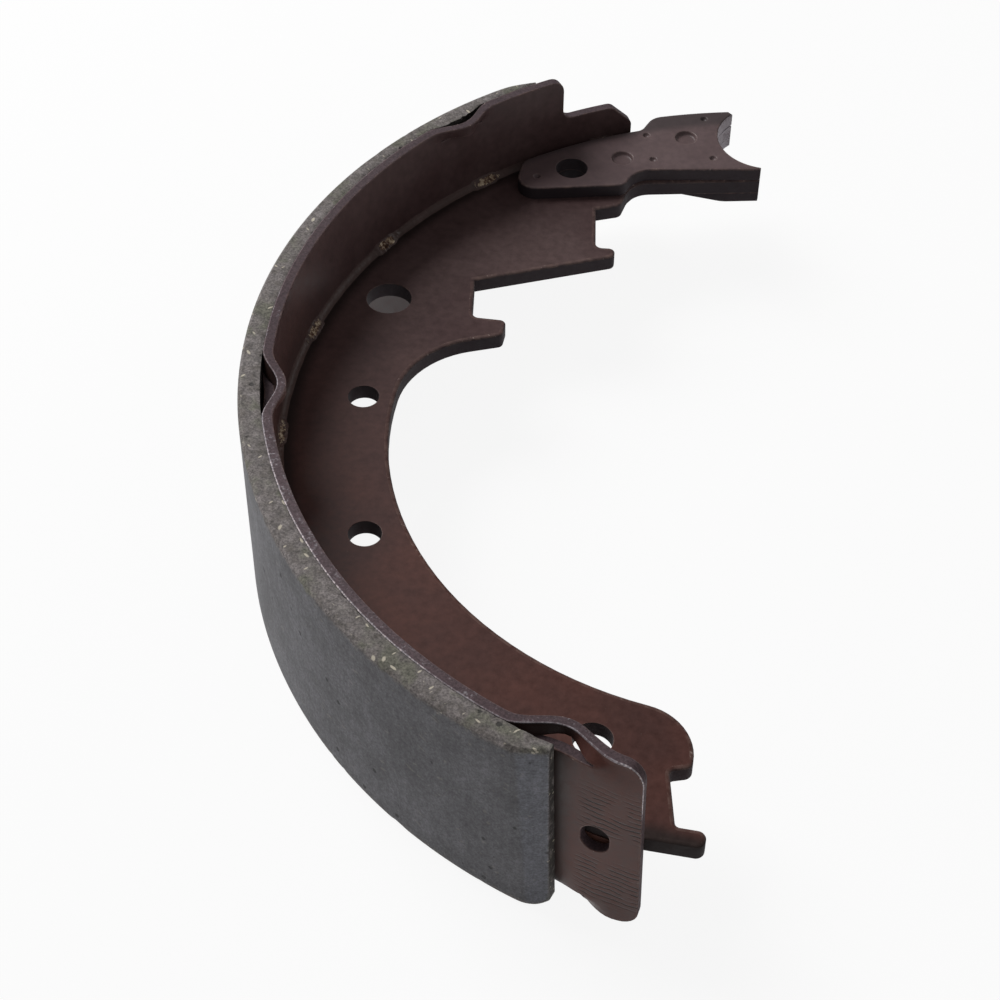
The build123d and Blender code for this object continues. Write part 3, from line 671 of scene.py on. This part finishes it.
def rimBlank():
    # the flat blank in arc length and Z, with its window and the slits of its nibs
    n = rimShape
    slope = np.tan(np.radians(n["adjusterSkew"]))
    tongue, shoulder, end = (rimArc(n[key]) for key in ("tongueAngle", "anchorAngle", "adjusterAngle"))
    half, narrow, cut = n["half"], n["tongueHalf"], n["tongueCut"]
    outline = roundedOutline([
        (tongue, narrow - cut, n["tongueTip"]), (tongue, -narrow + cut, n["tongueTip"]),
        (tongue + cut, -narrow, n["tongueTip"]), (shoulder, -narrow, n["tongueRoot"]),
        (shoulder, -half, n["anchorCorner"]), (end + half * slope, -half, n["adjusterCorner"]),
        (end - half * slope, half, n["adjusterCorner"]), (shoulder, half, n["anchorCorner"]),
        (shoulder, narrow, n["tongueRoot"]), (tongue + cut, narrow, n["tongueTip"]),
    ])
    window, wide, tall = rimArc(n["windowAngle"]), n["windowWidth"] / 2, n["windowHeight"] / 2
    bend = wide * 0.999
    slot = roundedOutline([(window + wide, -tall, bend), (window - wide, -tall, bend),
                           (window - wide, tall, bend), (window + wide, tall, bend)], 11)[::-1]
    loops = [outline, slot]
    for *_, first, last, shift in n["nibs"]:
        for side in (1, -1):
            near = side * (half - n["nibHeight"]) + shift
            low, high = sorted((near, near - side * n["slit"]))
            loops.append(np.array([(rimArc(first), low), (rimArc(last), low),
                                   (rimArc(last), high), (rimArc(first), high)]))
    rows = turnedRows(0, n["thickness"], n["turnInner"], n["turnOuter"], n["turnOuter"], n["hold"])
    work = plateMesh(windLoops([cleanLoop(loop) for loop in loops]), rows, rows)
    cuts = [((x, 0, 0), (1, 0, 0)) for x in np.arange(tongue + n["firstCut"], end + 1, n["cutStep"])]
    cuts += [((0, y, 0), (0, 1, 0)) for y in n["cutsAcross"]]
    for spot, way in cuts:
        bmesh.ops.bisect_plane(work, geom=work.verts[:] + work.edges[:] + work.faces[:],
                               dist=1e-4, plane_co=spot, plane_no=way)
    mesh = bpy.data.meshes.new("rimTable")
    work.to_mesh(mesh)
    work.free()
    return mesh


def makeRim():
    # the flat blank is rolled: the arc length over the middle radius gives the angle and the height
    # in the sheet gives the radius. A nib's outer edge is pushed in by a bow as long as the nib, its
    # lower edge by a bow as long as the slit, and the push goes over from one to the other by a
    # smooth step of the height above the slit
    n = rimShape
    half, top = n["half"], n["thickness"]
    mesh = rimBlank()
    place = np.empty(len(mesh.vertices) * 3)
    mesh.vertices.foreach_get("co", place)
    s, z, t = place.reshape(-1, 3).T
    angle = np.degrees(s / n["middle"])
    push, thin = np.zeros_like(s), np.zeros_like(s)
    for start, peak, finish, depth, first, last, shift in n["nibs"]:
        edgeBow, slitBow = nibBow(angle, start, peak, finish), nibBow(angle, first, peak, last)
        for side in (1, -1):
            near = side * (half - n["nibHeight"]) + shift
            beyond = (z - near) * side + n["slit"] / 2
            rise = np.clip(beyond / (n["nibHeight"] - side * shift), 0, 1)
            rise = rise * rise * (3 - 2 * rise)
            # the sheet on the other side of the slit is dragged along a little
            dragged = n["drag"] * np.exp(np.minimum(beyond, 0) / n["dragLength"])
            drag = slitBow * np.where(beyond > 0, 0.96, dragged)
            push = push + depth * (edgeBow * rise + drag * (1 - rise))
            thin = np.maximum(thin, edgeBow * (beyond > 0))
    tail = np.clip((angle - n["tailFrom"]) / n["tailIn"], 0, 1)
    tail = tail * np.clip((n["tailTo"] - angle) / n["tailOut"], 0, 1)
    tail = tail * np.clip((np.abs(z - n["tailMiddle"]) - n["tailCalm"]) / n["tailReach"], 0, 1) ** 2
    tail = tail * np.where(z > 0, n["pulledIn"], n["hangsOut"])
    radius = n["inner"] + t * (1 - n["thinning"] * thin) - push - tail
    turn = np.radians(angle)
    place = np.stack([radius * np.cos(turn), radius * np.sin(turn), z], axis=1) * mm
    mesh.vertices.foreach_set("co", place.ravel())

    # rubbed bright: both corners of the upper edge, the outer one more, and the free end's corner
    rubbed = np.interp(angle, n["rubbedAngles"], n["rubbedShares"]) * (z > half - 0.45)
    rubbed = rubbed * np.where(t > top - 0.4, 1.0, 0.5)
    lastArc = rimArc(n["adjusterAngle"]) - half * np.tan(np.radians(n["adjusterSkew"]))
    atEnd = (s > lastArc - 6) & (z > 10) & (t > top - 0.5)
    wall = np.zeros(len(s), dtype=np.float32)
    mesh.attributes["wallShare"].data.foreach_get("value", wall)
    rubbed = np.maximum(rubbed, atEnd * (wall > 0.2) * np.clip((z - 10) / 8, 0, 1))
    # on the outer face: two bands of score lines on the free end, and painted contact shadow just past the
    # lining's end; its share also runs on under the lining, where it is hidden
    outside = t > top - 0.1
    bands = [np.clip((n["scoreHalf"] - np.abs(z - middle)) / 3, 0, 1) for middle in n["scoreBands"]]
    score = np.clip((angle - n["scoreFrom"]) / 1.2, 0, 1) * outside * np.maximum(*bands)
    contactShade = np.clip(1 - (angle - n["contactShadeTo"]) / 1.5, 0, 1) * (angle > n["contactShadeFrom"]) * outside
    addShares(mesh, {"bareShare": rubbed, "scoreShare": score, "contactShadeShare": contactShade})
    mesh.update()
    smoothMesh(mesh, n["sharpAngle"])
    return showPiece("rimTable", mesh, primedRim, ["rim_table"])


makeRim()
print("rim made")


liningShape = {
    # millimetres, and degrees about the drum's axis. The ground face's own centre lies off that axis
    "bond": 151.1, "radius": 154.95, "offset": 2.8, "offsetAngle": 231.0, "half": 31.0,
    # each end: where it is, what thickness is left there, and how long its bevel runs
    "startAngle": 130.3, "startLeft": 1.2, "startBevel": 8.0,
    "endAngle": 253.1, "endLeft": 3.1, "endBevel": 6.6, "endFace": 157.63, "endSkew": 1.9, "bevelSkew": 3.9,
    "crease": 2.2, "endCut": 1.9, "endCutLength": 3.6,
    "corner": 0.6, "chip": 1.1, "backChip": 0.9, "wavy": 0.05,
    # mix squeezed into the opening of the anchor nib
    "squeeze": 2.2, "squeezeFrom": 138.6, "squeezeTo": 146.0,
    "skinReach": 4.2, "skinShare": 0.75,
    "steps": 620, "acrossFace": 44, "acrossSide": 7, "sharpAngle": 32,
}


def softLower(a, b, crease):
    # the lower of two heights, blended over a soft crease by adding their exponentials
    return -np.logaddexp(-a * crease, -b * crease) / crease


def makeLining():
    # a closed outline carried round the drum's axis. Seen along the arc it runs up the bonded back,
    # over the top side, down the ground face and back along the bottom side. The ground face is a
    # circle about a moved centre: offset times the cosine of the angle from the offset's direction,
    # plus the root of radius squared less (offset times that angle's sine) squared. Near each end a
    # bevel cuts it down. Corners lose a little more wherever a random line is high
    n = liningShape
    start, end = np.radians(n["startAngle"]), np.radians(n["endAngle"])
    u = np.linspace(0, 1, n["steps"])
    u = u - 0.012 * np.sin(2 * np.pi * u)               # finer towards both ends
    u[0], u[-1] = 0, 1

    # points of the outline: Z as a share of the half width, depth as a share of the thickness, and
    # what they lie on: 0 the back, 1 the top side, 2 the ground face, 3 the bottom side
    face = np.linspace(1, -1, n["acrossFace"])
    side = np.linspace(0, 1, n["acrossSide"])
    outline = [(z, 0.0, 0) for z in (-1, -0.97, -0.5, 0, 0.5, 0.97)]
    outline += [(1.0, d, 1) for d in side]
    outline += [(z, 1.0, 2) for z in face[1:-1]]
    outline += [(-1.0, d, 3) for d in side[:0:-1]]
    zShare, depth, kind = (np.array(column) for column in zip(*outline))
    z = (zShare * n["half"])[None, :] * np.ones((len(u), 1))
    last = end - z * np.tan(np.radians(n["endSkew"])) / n["radius"]
    theta = start + (last - start) * u[:, None]

    away = theta - np.radians(n["offsetAngle"])
    ground = n["offset"] * np.cos(away) + np.sqrt(n["radius"] ** 2 - (n["offset"] * np.sin(away)) ** 2)
    fromStart = (theta - start) * n["radius"]
    rise = (ground - n["bond"] - n["startLeft"]) / n["startBevel"]
    bevel = n["bond"] + n["startLeft"] + np.maximum(rise, 0.25) * fromStart
    ground = softLower(ground, bevel, n["crease"])
    fromEnd = (end - theta) * n["radius"] - z * np.tan(np.radians(n["bevelSkew"]))
    slope = (n["endFace"] - n["bond"] - n["endLeft"]) / n["endBevel"]
    bevel = n["bond"] + n["endLeft"] + slope * fromEnd
    onBevel = np.clip((ground - bevel) / 0.5, 0, 1)
    ground = softLower(ground, bevel, n["crease"])

    arcPlace = theta * n["radius"]
    wavy = n["wavy"] * np.abs(noiseField(arcPlace, z, 9.0, 3) - 0.5)
    radius = n["bond"] + (ground - n["bond"]) * depth[None, :] - wavy * (kind == 2)

    # corners between sides and ground face: points within the corner's reach move in on both axes
    for rows, seed in ((kind == 1, 11), (kind == 3, 12)):
        random = noiseLine(arcPlace, 3.1, seed) * noiseLine(arcPlace, 11.0, seed + 20)
        loss = n["corner"] + n["chip"] * np.clip(random - 0.5, 0, 1)
        near = np.clip(1 - (ground - radius) / (1.6 * loss), 0, 1) ** 2 * rows
        z = z - np.sign(z) * near * loss
        radius = radius - near * loss * 0.35
    # the lower corner of the adjuster end is rounded: the half width there is short by the cut times
    # the square of one less the distance from the end over the cut's length
    short = n["endCut"] * np.clip(1 - (last - theta) * n["radius"] / n["endCutLength"], 0, 1) ** 2
    z = np.where(z < 0, z * (1 - short / n["half"]), z)
    # the sides' inner corners break away beside the rim
    random = noiseLine(arcPlace, 2.3, 31) * noiseLine(arcPlace, 17.0, 32)
    broken = 0.2 + n["backChip"] * np.clip(random - 0.42, 0, 1)
    near = np.clip(1 - (radius - n["bond"]) / (1.5 * broken), 0, 1) * np.isin(kind, (1, 3))
    z = z - np.sign(z) * near * broken
    # squeezed mix: a bump of half a sine, less one third of a ragged line, fading from the bonded
    # line over the top side
    part = np.clip((np.degrees(theta) - n["squeezeFrom"]) / (n["squeezeTo"] - n["squeezeFrom"]), 0, 1)
    squeeze = n["squeeze"] * np.sin(np.pi * part) ** 0.7 * (0.67 + 0.33 * noiseLine(arcPlace, 1.2, 41))
    radius = radius - squeeze * np.clip(1 - 2.5 * depth, 0, 1) * (kind == 1)

    # each end is closed by rings that draw the face back to the bonded line
    points = np.stack([radius * np.cos(theta), radius * np.sin(theta), z], axis=-1)
    back = np.stack([n["bond"] * np.cos(theta), n["bond"] * np.sin(theta), z], axis=-1)
    closing = (0.25, 0.5, 0.75, 1.0)
    first, final = ([points[row] + (back[row] - points[row]) * t for t in closing] for row in (0, -1))
    points = np.array([*first[::-1], *points, *final]) * mm
    piece = newPiece("frictionLining", points.reshape(-1, 3), tubeFaces(*points.shape[:2]), frictionLining,
                     ["lining"])

    # the skin of the sides reaches over the corners on to the face
    skin = n["skinShare"] * np.clip(1 - n["half"] * (1 - np.abs(zShare)) / n["skinReach"], 0, 1)
    onSide = np.repeat(np.where(kind == 2, skin, 1.0)[None, :], len(points), axis=0)
    atEnd = onSide * (kind == 0) * 4                    # the bonded back is dark all over
    atEnd[:4] = atEnd[-4:] = onSide[:5] = onSide[-5:] = 1
    bevelled = np.concatenate([0 * onSide[:4], onBevel * (kind == 2), 0 * onSide[-4:]])
    addShares(piece.data, {"sideShare": onSide, "endShare": atEnd, "bevelShare": bevelled})
    closeMesh(piece.data, n["sharpAngle"])
    return piece


makeLining()
print("lining made")


weldShape = {
    # millimetres, and degrees about the drum's axis
    "rim": 148.1, "face": 2.5, "leg": 1.9, "start": 118.0, "end": 259.5,
    "fullFrom": 252, "fullLeg": 1.0,                    # the run ends full
    "beadLeg": 2.8, "beadLength": 10.0, "beadFirst": 121.5, "beadStep": 17.4, "beads": 8,
    "sag": 0.18, "ripple": 0.12, "crust": 0.9, "steps": 1400, "across": 11, "sharpAngle": 60,
}


def weldSeam(side):
    # a fillet carried round the rim: its leg is the seam's, raised to the bead's over each bead's
    # length by a ramp; its face sags by a sine across it, with ripples, and is broken up into crust
    # over each weld spot
    n = weldShape
    theta = np.radians(np.linspace(n["start"], n["end"], n["steps"]))
    place = theta * n["rim"]
    leg = n["leg"] * (0.9 + 0.1 * noiseLine(place, 4.0, 50 + side))
    leg = leg + n["fullLeg"] * np.clip((np.degrees(theta) - n["fullFrom"]) / 3, 0, 1)
    crust = np.zeros_like(place)
    for index in range(n["beads"]):
        middle = np.radians(n["beadFirst"] + index * n["beadStep"]) * n["rim"]
        over = np.clip((n["beadLength"] / 2 - np.abs(place - middle)) / 1.2, 0, 1)
        leg = leg + (n["beadLeg"] - n["leg"]) * over * (0.7 + 0.3 * noiseLine(place, 0.9, 60 + index))
        far = np.abs(place - middle - 1.2 * np.sin(5.0 * index)) / (n["beadLength"] * 0.72)
        broken = 0.75 + 0.5 * noiseLine(place, 1.4, 90 + index)
        crust = np.maximum(crust, np.clip(1.15 - far, 0, 1) * broken)
    t = np.linspace(0, 1, n["across"])
    placeGrid, acrossGrid = place[:, None] + 0 * t, 4 * t + 0 * place[:, None]
    rough = noiseField(placeGrid, acrossGrid, 0.8, 70 + side) - 0.5
    lump = noiseField(placeGrid, acrossGrid, 0.55, 80 + side) - 0.35
    arch = np.sin(np.pi * t)
    sag = n["sag"] * arch * leg[:, None] - n["ripple"] * rough * arch
    sag = sag - n["crust"] * crust[:, None] * lump * arch
    radius = n["rim"] - leg[:, None] * (1 - t) + sag * 0.7
    height = n["face"] + leg[:, None] * t - sag * 0.7
    # the hidden corner, sunk a little into rim and web
    radius = np.concatenate([radius, np.full((len(theta), 1), n["rim"] + 0.3)], axis=1)
    height = np.concatenate([height, np.full((len(theta), 1), n["face"] - 0.3)], axis=1)
    around = [radius * np.cos(theta)[:, None], radius * np.sin(theta)[:, None], side * height]
    points = np.stack(around, axis=-1)
    # both ends are drawn together to a point
    first, final = (np.repeat(points[row].mean(axis=0)[None, None], points.shape[1], 1) for row in (0, -1))
    points = np.concatenate([first, points, final]) * mm
    across = np.append(arch ** 0.8, 0)
    return points, np.concatenate([crust[:1], crust, crust[-1:]])[:, None] * across


def makeWeldSeams():
    (upper, upperCrust), (lower, lowerCrust) = (weldSeam(side) for side in (1, -1))
    faces = tubeFaces(*upper.shape[:2])
    points = np.concatenate([upper.reshape(-1, 3), lower.reshape(-1, 3)])
    faces = np.concatenate([faces, faces + upper.shape[0] * upper.shape[1]])
    piece = newPiece("weldSeams", points, faces, primedWeld, ["weld_seams"])
    addShares(piece.data, {"crustShare": np.concatenate([upperCrust.ravel(), lowerCrust.ravel()])})
    closeMesh(piece.data, weldShape["sharpAngle"])
    return piece


makeWeldSeams()
print("weld seams made")


stageLook = {
    "floorSize": 40.0,          # metres
    "floorDrop": 0.0001,        # below the shoe
    "floorTone": "#fafafa",
    "floorGlow": 0.9,           # share of plain white that the camera sees in the floor
    "worldLight": 0.16,
}


def makeStage():
    half, low = stageLook["floorSize"] / 2, cadLow.z - stageLook["floorDrop"]
    mesh = bpy.data.meshes.new("floor")
    mesh.from_pydata([(-half, -half, low), (half, -half, low), (half, half, low), (-half, half, low)],
                     [], [(0, 1, 2, 3)])
    floor = bpy.data.objects.new("floor", mesh)
    bpy.context.scene.collection.objects.link(floor)
    # pale paper: mostly plain white where it is seen, an ordinary dull surface for all other light
    material, tree = emptyMaterial("paleFloor")
    ray = addNode(tree, "LightPath", output=None)
    seen = addNode(tree, "Math", [ray["Is Camera Ray"], ray["Is Glossy Ray"]], operation="MAXIMUM")
    seen = addNode(tree, "Math", [seen, ray["Is Transmission Ray"]], operation="MAXIMUM")
    share = addNode(tree, "Math", [seen, stageLook["floorGlow"]], **times)
    plain = addNode(tree, "BsdfDiffuse", {"Color": stageLook["floorTone"]})
    glow = addNode(tree, "Emission", {"Color": "#ffffff", "Strength": 1.0})
    mix = addNode(tree, "MixShader", [share, plain, glow])
    addNode(tree, "OutputMaterial", {"Surface": mix}, None)
    mesh.materials.append(material)


def makeWorld():
    # a dim even room light, seen as plain white
    world = bpy.data.worlds.new("softRoom")
    bpy.context.scene.world = world
    world.use_nodes = True
    tree = world.node_tree
    tree.nodes.clear()
    ray = addNode(tree, "LightPath", output=None)
    seen = addNode(tree, "Math", [ray["Is Camera Ray"], ray["Is Transmission Ray"]], operation="MAXIMUM")
    fill = addNode(tree, "Background", {"Color": "#ffffff", "Strength": stageLook["worldLight"]})
    white = addNode(tree, "Background", {"Color": "#ffffff", "Strength": 1.0})
    mix = addNode(tree, "MixShader", [seen, fill, white])
    addNode(tree, "OutputWorld", {"Surface": mix}, None)


lamps = {
    # metres and watts
    "key": {"at": (-1.05, 0.55, 1.05), "aim": (-0.05, 0.0, 0.0), "size": 0.9, "power": 20.0},
    "back": {"at": (0.9, 0.9, 0.4), "aim": (0.0, 0.0, 0.0), "size": 0.5, "power": 1.3},
    "fill": {"at": (0.7, -0.7, 0.9), "aim": (0.0, 0.0, 0.0), "size": 0.8, "power": 0.9},
}


def makeLamps():
    for name, lamp in lamps.items():
        light = bpy.data.lights.new(name, "AREA")
        light.shape = "SQUARE"
        light.size = lamp["size"]
        light.energy = lamp["power"]
        piece = bpy.data.objects.new(name, light)
        piece.location = lamp["at"]
        aim = Vector(lamp["aim"]) - Vector(lamp["at"])
        piece.rotation_euler = aim.to_track_quat("-Z", "Y").to_euler()
        bpy.context.scene.collection.objects.link(piece)


cameraSetup = {
    "place": (0.0, -450.511 * mm, 434.758 * mm),
    "right": (0.981176918, 0.192816406, 0.010662487),
    "down": (0.145918949, -0.704102272, -0.694944351),
    "forward": (-0.126489191, 0.683419215, -0.718984465),
    "lens": 77.471,
    "sensor": 36.0,
    "shiftX": -0.008287,
    "shiftY": -0.004796,
}


def makeCamera():
    n = cameraSetup
    camera = bpy.data.objects.new("camera", bpy.data.cameras.new("camera"))
    camera.data.lens = n["lens"]
    camera.data.sensor_width = n["sensor"]
    camera.data.shift_x = n["shiftX"]
    camera.data.shift_y = n["shiftY"]
    right, down, ahead = (Vector(n[key]) for key in ("right", "down", "forward"))
    turn = Matrix((right, -down, -ahead)).transposed()
    camera.matrix_world = Matrix.Translation(n["place"]) @ turn.to_4x4()
    bpy.context.scene.collection.objects.link(camera)
    bpy.context.scene.camera = camera


makeStage()
makeWorld()
makeLamps()
makeCamera()
bpy.context.scene.view_settings.view_transform = "Standard"
print("stage, lamps and camera placed")
